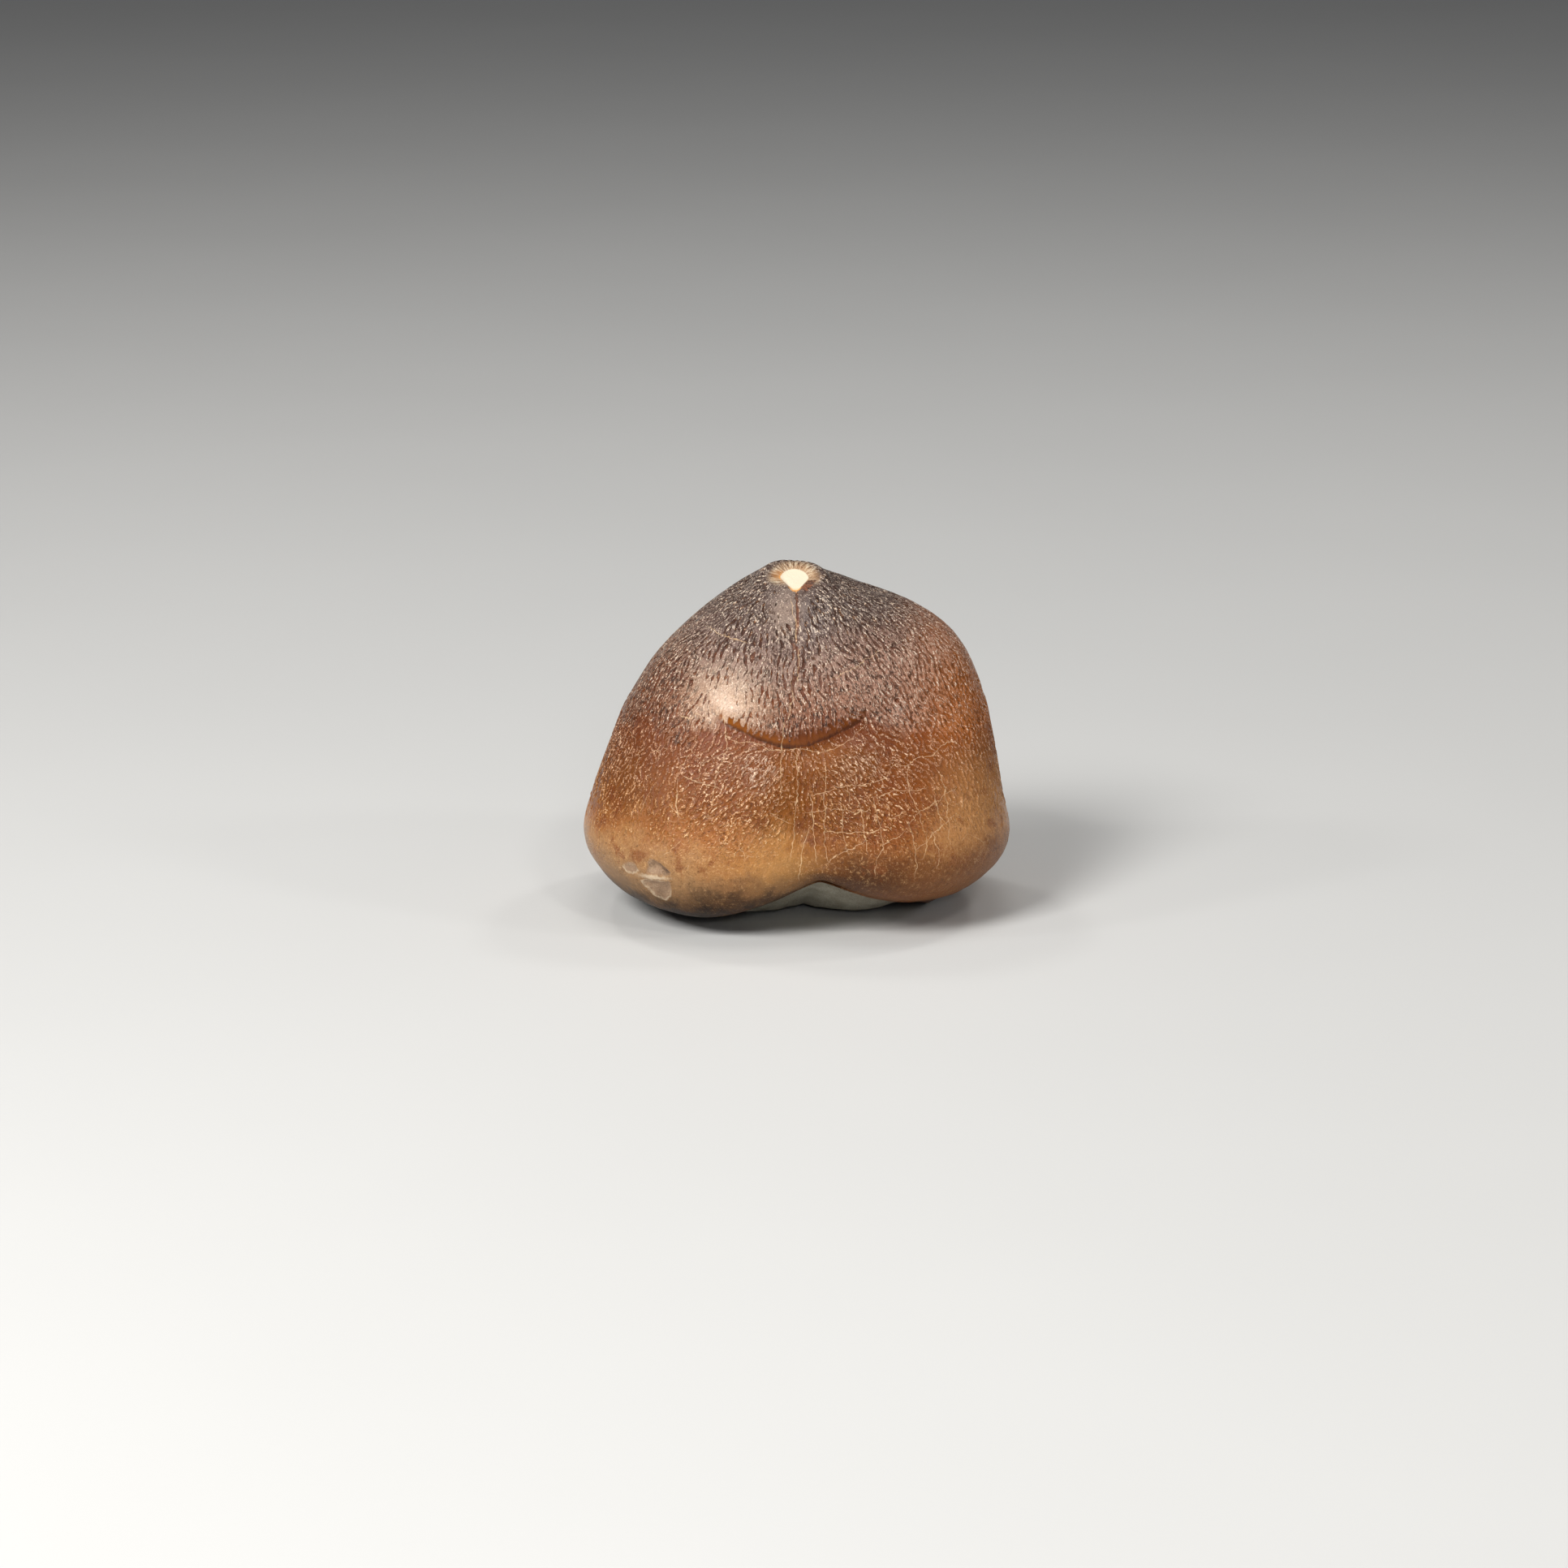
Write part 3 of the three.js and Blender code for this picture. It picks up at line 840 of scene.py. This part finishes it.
# Patches of colour on the front: the middle's x and z, half the width and height, how soft
# the edge is, and how far noise moves it in x and in z.
PATCHES = dict(
    tan=(9.1, 4.3, 3, 3.6, 0.6),
    heel=(-8, 3.5, 3.6, 1.5, 0.6, 0, 0.15),
    channel=(-0.05, 15.2, 0.35, 1.7, 0.4),
    shade=(2.3, 3.7, 3, 1.25, 0.6, 0, 0.15),
    red=(4.9, 6.6, 2.2, 2, 0.6, 0.3, 0),
    amber=(1, 7.2, 2.4, 2.8, 0.6, 0.3, 0),
    warm=(-0.6, 15.7, 0.75, 1, 0.7, 0.1, 0),
    cool=(0.75, 15.6, 0.8, 0.9, 0.7, 0.1, 0),
    rosy=(4.4, 11.7, 3.4, 2.6, 0.7, 0.3, 0.2),
    sheen=(CALM.x, CALM.z, 1.7, 1.35, 0.85, 0.15, 0.1),
    crust=(-2, 8.9, 0.8, 1, 0.7, 0.2, 0.1),
    crust_right=(3.3, 9.2, 1.1, 0.8, 0.8, 0.2, 0.1),
    shoulder=(0.9, 11, 2.6, 0.9, 0.8, 0.2, 0.2),
    honey=(1.4, 7.2, 2.2, 2, 0.7, 0.2, 0.2),
    glow=(-1, 4.5, 1.6, 1.4, 0.8, 0.2, 0.2),
    cracked=(2.6, 6.6, 5.1, 4.4, 0.2),
)
# How strong each tint is, and its colour.
TINTS = dict(
    tan=(0.85, 0xBC8652),
    heel=(0.7, 0x9E7A54),
    channel=(0.7, 0x704230),
    right=(0.85, 0x744218),
    shade=(0.8, 0x42240A),
    red=(0.75, 0x803E08),
    amber=(0.9, 0x8C4E01),
    flank=(0.6, 0x5C300C),
    rust=(0.6, 0x703204),
    light_streak=(0.55, 0xC07C3E),
    dark_streak=(0.7, 0x4A2206),
    light_mottle=(1, 0xD2A674),
    dark_mottle=(0.6, 0x3C220E),
    warm=(0.7, 0x968276),
    cool=(0.5, 0x706666),
    rosy=(0.7, 0xB68670),
    brown=(0.8, 0x96500E),
    dusk=(0.75, 0x623A22),
    blot=(0.6, 0x3A261E),
    speck=(1, 0xD2B8A4),
    dark_vein=(0.88, 0x422A20),
    light_vein=(0.5, 0xD0BCAE),
    sheen=(1, 0xDEC2A8),
    lit=(0.85, 0xE8D2C0),
    crust=(0.5, 0xE0C8B4),
    left_side=(0.5, 0xD9B07C),
    right_side=(0.25, 0xD27828),
    shoulder=(0.6, 0xBD906C),
    honey=(0.6, 0xBEA33C),
    glow=(0.25, 0xECB46E),
    stain=(0.7, 0xA46C34),
    fringe=(1, 0xD8984E),
    shadow=(0.75, 0x402C28),
    rim=(0.65, 0xE0CEB4),
    crack=(0.62, 0xE4C298),
)
# Colours along a value, mostly the height z.
# The lowest stops of DEEP, near black by the floor, are painted shade over the enamel's own dark
# brown.
DEEP = [
    (0, 0x1A1008), (1, 0x26170A), (2.1, 0x52371F), (3.1, 0x89603A),
    (4.2, 0xAA743E), (5.4, 0x9C5E26), (7, 0x84460C), (9, 0x7A3E0E),
    (11, 0x743612), (13, 0x5C2E1C), (15, 0x40241A), (18, 0x241610),
]
SKIN = [
    (10, 0x925830), (11.5, 0x946850), (13.5, 0x8C7166),
    (14.8, 0x705A54), (15.8, 0x584844), (17.5, 0x544642),
]
# PALE: the ribs' paler colour, which also carries painted glints.
PALE = [(3, 0xD2A062), (6, 0xD89E62), (9.5, 0xDEB08E)]
GLINT = [(4, 0xEECEA0), (9, 0xF4D8BA), (11, 0xF6E4D0)]
# ALONG_STEP: the band's amber, its lowest stops a painted shade along the edge of the step.
ALONG_STEP = [(-0.12, 0x2C1402), (0.02, 0x582A02), (0.25, 0x884A03), (0.7, 0x6E3A08)]
STRIPES = [(-1.8, 0x5C3E2C), (0, 0xB29272), (1.6, 0xE4D4BA)]
WEDGE = [(-1.5, 0x341A10), (1.8, 0x884E2C)]
WHITE = [(-1.16, 0xCC8E4A), (-1, 0xDEC096), (-0.8, 0xE2D6C0)]
BARE = [(-1.5, 0x6E5846), (0, 0x987E68), (1.5, 0xBCA48A)]
WALL = [(-2, 0x54422C), (2, 0x967C58)]
SEDIMENT = [(-2, 0x706B5E), (0, 0x989384), (2, 0xB8B2A2)]


def share(p):
    """Works out what several of the enamel's colours need."""
    p.front = p.y.ramp(-2, -0.6, 1, 0)
    p.network = crack_network(p)
    p.broad = p.noise(3.2, 3, 0.55)
    p.blotch = p.noise(1.1, 3, 0.6, seed=3)
    p.grit = p.noise(0.08, 3, 0.65, seed=1)
    flow = Flow(p)
    p.dash = flow.dashes(0.12, 20)
    p.thin = flow.dashes(0.06, 40)

    # The wrinkles, sharper than the mesh can hold them.
    c, s = p.number("wave_cos"), p.number("wave_sin")
    crest = c / (c * c + s * s + 0.02).root()
    p.high, p.band = p.number("high").ramp(0.3, 0.7), p.number("band").ramp(0.25, 0.75)
    edge = p.grit * 0.15 + p.dash * 0.45 + p.thin * 0.2
    p.pressed = p.number("press") - crest + edge
    p.slot = p.pressed.ramp(0.22, 0.62)
    p.rib = (p.number("lift") + crest + edge).ramp(0.3, 0.85)
    p.low = (1 - p.high) * (1 - p.band)
    p.wrinkled = p.z.ramp(3.4, 6.2)
    p.smooth = p.number("smooth")
    p.lively = 1 - p.smooth * 0.9


def patch(p, name, x_by=None, z_by=None):
    """How much a point lies in one of the PATCHES, whose edge may move with noise."""
    x, z, width, height, soft, *moved = PATCHES[name]
    u = p.x if x_by is None else p.x + x_by * moved[0]
    v = p.z if z_by is None else p.z + z_by * moved[1]
    return p.spot((u, x), (v, z), width, height, soft)


def tint(p, base, name, where, how="MIX"):
    """Lays one of the TINTS over a colour."""
    strength, colour = TINTS[name]
    return p.mix(where if strength == 1 else where * strength, base, colour, how)


def deep_colour(p):
    """The colour in the slots and between the ribs."""
    x, y, z, front, blotch = p.x, p.y, p.z, p.front, p.blotch
    # Darker towards the bottom through DEEP, whose lowest stops are painted shade.
    level = z + p.broad * 0.3 + blotch * 0.3
    deep = p.colours(level, DEEP)
    p.tan = patch(p, "tan")
    deep = tint(p, deep, "tan", p.tan)
    deep = tint(p, deep, "heel", patch(p, "heel", z_by=blotch) * front)
    deep = tint(p, deep, "channel", patch(p, "channel") * front)
    right = x.ramp(0.4, 2.4) * (z + blotch * 0.3).ramp(5.4, 3.8) * y.ramp(2.5, -4)
    deep = tint(p, deep, "right", right)
    deep = tint(p, deep, "shade", patch(p, "shade", z_by=blotch) * front)
    for name in ("red", "amber"):
        deep = tint(p, deep, name, patch(p, name, blotch) * front)
    deep = tint(p, deep, "flank", x.ramp(-5, -9) * z.band(6, 12.5, 1.5))
    rust = (blotch + p.dash * 0.5).ramp(0.4, 1.8) * z.band(3.4, 9, 1)
    deep = tint(p, deep, "rust", rust)
    p.streak = p.dash * 0.7 + p.thin * 0.5 + p.grit * 0.2
    streaky = z.ramp(3, 6)
    deep = tint(p, deep, "light_streak", p.streak.ramp(0.1, 2) * streaky)
    deep = tint(p, deep, "dark_streak", p.streak.ramp(-0.1, -2) * streaky)
    deep = p.mix(p.band, deep, along_step(p))
    fibre = z.ramp(9, 4.5)
    mottle = p.thin * 0.4 + p.grit * 0.5 + p.noise(0.22, 3, 0.65, seed=15) * 0.6
    light = mottle.ramp(0.2, 2) * fibre * z.ramp(0.5, 4.5, 0.12, 0.6)
    deep = tint(p, deep, "light_mottle", light)
    return tint(p, deep, "dark_mottle", mottle.ramp(-0.2, -2.2) * fibre)


def along_step(p):
    """The colour of the smooth band: its amber, with painted shade darkest along the step's edge."""
    bend = CRESCENT.round
    lean = p.x - p.z.ramp(TIP.start, TIP.end, 0, TIP.x)
    above = p.z - CRESCENT.height
    above = above - ((lean * lean + bend * bend).root() - bend) * CRESCENT.rise
    return p.colours(above + p.dash * 0.04 + p.blotch * 0.03, ALONG_STEP)


def skin_colour(p):
    """The colour of the plateaus above the step."""
    x, z, blotch, thin, grit = p.x, p.z, p.blotch, p.thin, p.grit
    skin = p.colours(z + blotch * 0.2, SKIN)
    for name in ("warm", "cool"):
        skin = tint(p, skin, name, patch(p, name, blotch))
    p.rosy = patch(p, "rosy", blotch, p.broad)
    skin = tint(p, skin, "rosy", p.rosy)
    skin = tint(p, skin, "brown", x.ramp(6, 9) * z.band(8, 13, 1))
    skin = tint(p, skin, "dusk", x.ramp(-4, -8.5) * z.band(8, 14, 1.5))
    p.speck = grit + thin * 0.5
    p.blot = p.noise(0.3, 3, 0.65, seed=16)
    skin = tint(p, skin, "blot", (p.blot * 0.8 + p.speck * 0.4).ramp(0, -1.8))
    skin = tint(p, skin, "speck", p.speck.ramp(0.2, 1.9) * (0.45 - p.smooth * 0.2))
    vein = (p.streak + p.blot * 0.4) * (1 - p.smooth * 0.6)
    skin = tint(p, skin, "dark_vein", vein.ramp(-0.15, -1.1))
    skin = tint(p, skin, "light_vein", vein.ramp(0.4, 1.6))
    sheen = patch(p, "sheen", p.blot, p.blot) * p.front
    skin = tint(p, skin, "sheen", sheen * (p.speck * 0.12 + 0.5))
    lit = p.pressed.band(-0.3, 0.1, 0.12) * (thin + grit * 0.6).ramp(-0.5, 1.2)
    return tint(p, skin, "lit", lit)


def body(p):
    """The whole crown's colour but for the worn tip, the chips and the cracks."""
    x, y, z, front, blotch = p.x, p.y, p.z, p.front, p.blotch
    deep, skin = deep_colour(p), skin_colour(p)
    colour = p.mix(p.high * (1 - p.slot * (0.9 - p.rosy * 0.25)), deep, skin)
    # The ribs below the step are lightened with PALE: partly their own paler colour, partly painted
    # glints on their crests.
    pale = p.colours(z, PALE)
    ribs = p.rib * p.low * p.wrinkled * (1 - p.tan * 0.6)
    ribs = ribs * (p.speck * 0.3 + 0.35).ramp(0, 1, 0, 0.78)
    colour = p.mix(ribs, colour, pale)
    crust = patch(p, "crust", blotch, p.blot)
    crust = crust.most(patch(p, "crust_right", blotch, p.blot) * 0.6) * front
    crust = crust * p.low * (p.streak + p.blot * 0.5).ramp(-0.3, 1.2)
    colour = tint(p, colour, "crust", crust)
    # Painted glints: pale flecks in the GLINT colours on the edges of the slots and ribs, more of them
    # further back on the upper part.
    behind = (y + 1.5).ramp(-3, 1) * z.ramp(9, 13)
    edges = p.pressed.band(-0.5, 0.25, 0.2) * p.high * 0.7 + p.rib * p.low * 0.5
    painted_glints = p.dash * 0.5 + p.thin * 0.7 + p.grit * 0.5 + behind * 0.3 + edges
    painted_glints = painted_glints.ramp(1.2, 1.9) * p.lively
    painted_glints = painted_glints * (p.high * 0.78 + p.low * p.wrinkled * (0.88 - p.tan * 0.5))

    left = x.ramp(-3.5, -7.5) * z.ramp(8, 10.5)
    colour = tint(p, colour, "left_side", left, "MULTIPLY")
    colour = tint(p, colour, "right_side", x.ramp(4.5, 8) * z.ramp(8, 10.5))
    for name, how in (("shoulder", "MULTIPLY"), ("honey", "MULTIPLY"), ("glow", "MIX")):
        colour = tint(p, colour, name, patch(p, name, blotch, blotch) * front, how)
    return p.mix(painted_glints, colour, p.colours(z, GLINT))


def worn_tip(p, colour):
    """Adds the tip's white core and the ring of striped enamel round it."""
    x, y, z, blotch, grit = p.x, p.y, p.z, p.blotch, p.grit
    dx, dy = x - CORE.x, y - CORE.y
    gap = (dx * dx + dy * dy).root() - CORE.radius
    for cx, cy, nx, ny in CORE_EDGES:
        gap = p.math("SMOOTH_MAX", gap, (x - cx) * nx + (y - cy) * ny, CORE.round)
    p.gap = gap = gap + grit * 0.006 + z.ramp(16.2, 16) * 9
    round_it = p.vector(dy.turn_from(dx) * 0.9, gap * 0.12, 0)
    spokes = p.noise(0.075, 2, 0.7, seed=6, place=round_it)
    ring = gap.ramp(0.25, 0.75, 1, 0) * y.ramp(-0.9, -0.3)
    striped = p.colours(spokes + grit * 0.3, STRIPES)
    stain = p.spot((x + grit * 0.02, -0.95), (y + blotch * 0.05, 0.02), 0.4, 0.26, 0.5)
    striped = tint(p, striped, "stain", stain.most(blotch.ramp(0.8, 1.6) * 0.3))
    colour = p.mix(ring, colour, striped)
    fringe = gap.ramp(0, 0.07, 1, 0) * y.ramp(-0.7, -1).most(x.ramp(-0.7, -0.95))
    colour = tint(p, colour, "fringe", fringe)
    turn = dy.turn_from(dx) + grit * 0.03
    wedge = gap.ramp(0, 0.04) * gap.ramp(0.34, 0.46, 1, 0) * turn.band(-0.95, 0.02, 0.08)
    colour = p.mix(wedge * 0.9, colour, p.colours(spokes + p.blot, WEDGE))
    p.core = gap.ramp(-0.06, 0, 1, 0)
    return p.mix(p.core, colour, p.colours(y + grit * 0.02, WHITE))


def damage(p, colour):
    """Adds the chips near the rim and the cracks, and the wall of the pulp cavity."""
    x, z, blotch, grit = p.x, p.z, p.blotch, p.grit
    rag = p.noise(0.3, 3, 0.6, seed=14) * 0.02
    pit, flat, flake = (p.number(name) + rag for name in CHIPS)
    p.chip = pit.most(flat).most(flake)
    bare = p.colours(blotch * 0.5 + grit * 0.4, BARE)
    colour = p.mix(p.chip.ramp(-0.06, 0.1) * 0.8, colour, bare)
    shadow = pit.ramp(0, 0.06) * (x + z + rag * 3).ramp(-3.15, -2.75)
    colour = tint(p, colour, "shadow", shadow)
    rim = flat.band(-0.03, 0.04, 0.05) * (x + z * 0.6).ramp(-4.5, -5.2)
    rim = rim.most(flake.band(-0.03, 0.04, 0.05) * z.ramp(3.7, 3.5))
    ledge = p.spot((x, -7.25), (z + rag * 2 - x * 0.06, 3.75), 0.66, 0.12, 0.7) * p.front
    rim = rim * (p.blot * 0.5).ramp(-1, 1, 0.4, 1)
    colour = tint(p, colour, "rim", rim.most(ledge))
    p.crack = p.network * p.gap.ramp(0.3, 0.6)
    colour = tint(p, colour, "crack", p.crack)
    p.wall = p.number("wall")
    return p.mix(p.wall * 0.85, colour, p.colours(blotch + grit, WALL))


def roughness(p):
    high = p.high
    rough = 0.22 + p.grit * 0.03 + p.blotch * 0.02 - p.slot * high * 0.12
    rough = rough + p.smooth * high * 0.04 + p.crack * 0.3 + p.wall * 0.4
    return rough + p.z.ramp(5, 1.5) * 0.2 + p.chip.ramp(-0.01, 0.03) * 0.2 + p.core * 0.1


def bump(p):
    """The height in millimetres of what is too fine for the mesh."""
    high, low = p.high, p.low
    ripple = p.dash * 0.015 + p.thin * 0.006
    ripple = ripple * (p.lively * high + low * p.wrinkled * 0.35) * p.gap.ramp(0, 0.4)
    height = -0.12 * p.slot * high + 0.035 * p.rib * low
    return height + (0.0045 - p.smooth * 0.003) * p.grit + ripple


def enamel_material():
    p = Paint("enamel")
    share(p)
    colour = damage(p, worn_tip(p, body(p)))
    rough, height = roughness(p), bump(p)
    gloss = p.z.ramp(1.5, 5.5, 0.14, 0.32)
    coat = dict(Coat_Weight=0.05, Coat_Roughness=0.12)
    return p.finish(colour, rough, height, Specular_IOR_Level=gloss, **coat)


def sediment_material():
    p = Paint("sediment")
    grain = p.noise(0.07, 4, 0.7)
    blotch = p.noise(0.9, 3, 0.6, seed=4)
    body = p.colours(grain * 0.7 + blotch * 0.5, SEDIMENT)
    return p.finish(body, 0.92 + grain * 0.01, grain * 0.004, Specular_IOR_Level=0.25)


crown.data.materials.append(enamel_material())
fill.data.materials.append(sediment_material())

for piece, node, slot in ((crown, "crown", "enamel"), (fill, "matrix_infill", "sediment")):
    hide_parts(node)
    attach(piece, "root")

# -------- floor, light and camera

FLOOR = 3000.0
PAPER = (0xCACCCE, 0xCED0D2)
CAMERA = Group(target=(-0.6763, 0, 6.2729), distance=260, elevation=15.5, lens=115.35)
LAMP_COLOUR = (1.0, 0.965, 0.91)
LAMPS = dict(  # the direction from the tooth, the distance, the size and the watts
    key=((-0.5, -0.58, 0.645), 260, 96, 0.66),
    overhead=((0.05, 0.1, 1.0), 320, 150, 0.2),
)
PANELS = [  # directions of small lamps, whose glints show the wrinkles
    (0.35, -0.6, 0.75), (-0.85, -0.25, 0.5), (0.9, -0.3, 0.5),
    (-0.35, 0.5, 0.8), (0.5, 0.4, 0.8), (0.1, -0.95, 0.35),
]
PANEL = (260, 28, 0.075)  # distance, size and watts
LIT = (0, 0, 9)  # where the lamps point
SKY = Group(colour=(0.97, 0.98, 1.0, 1), strength=0.08)


def in_frame(point):
    """A place in the part's own frame, in metres, from millimetres round the axis."""
    return Vector((np.array(point) + MIDDLE) * MM)


def look(obj, target):
    """Turns a camera or lamp towards a point."""
    obj.rotation_euler = (Vector(target) - obj.location).to_track_quat("-Z", "Y").to_euler()


def softbox(name, towards, distance, size, watts):
    """A square lamp seen from the tooth in a direction, at a distance."""
    lamp = bpy.data.lights.new(name, "AREA")
    lamp.shape = "SQUARE"
    lamp.size = size * MM
    lamp.energy = watts
    lamp.color = LAMP_COLOUR
    obj = bpy.data.objects.new(name, lamp)
    bpy.context.scene.collection.objects.link(obj)
    middle = in_frame(LIT)
    obj.location = middle + Vector(towards).normalized() * distance * MM
    look(obj, middle)


bpy.ops.mesh.primitive_plane_add(size=FLOOR * MM)
floor = bpy.context.object
floor.name = "floor"
paper = Paint("floor_paper")
paper_colour = paper.mix(paper.noise(30, 2) * 0.1 + 0.5, *PAPER)
floor.data.materials.append(paper.finish(paper_colour, 0.7, Specular_IOR_Level=0.2))

rise = math.radians(CAMERA.elevation)
camera = bpy.data.objects.new("camera", bpy.data.cameras.new("camera"))
bpy.context.scene.collection.objects.link(camera)
target = in_frame(CAMERA.target)
camera.location = target + Vector((0, -math.cos(rise), math.sin(rise))) * CAMERA.distance * MM
look(camera, target)
camera.data.lens = CAMERA.lens
camera.data.sensor_width = 36
camera.data.clip_start = 0.01
bpy.context.scene.camera = camera

for name, lamp in LAMPS.items():
    softbox(name, *lamp)
for number, towards in enumerate(PANELS):
    softbox(f"panel_{number}", towards, *PANEL)

world = bpy.data.worlds.new("studio")
world.use_nodes = True
background = world.node_tree.nodes["Background"]
background.inputs["Color"].default_value = SKY.colour
background.inputs["Strength"].default_value = SKY.strength
bpy.context.scene.world = world
bpy.context.scene.view_settings.view_transform = "Standard"
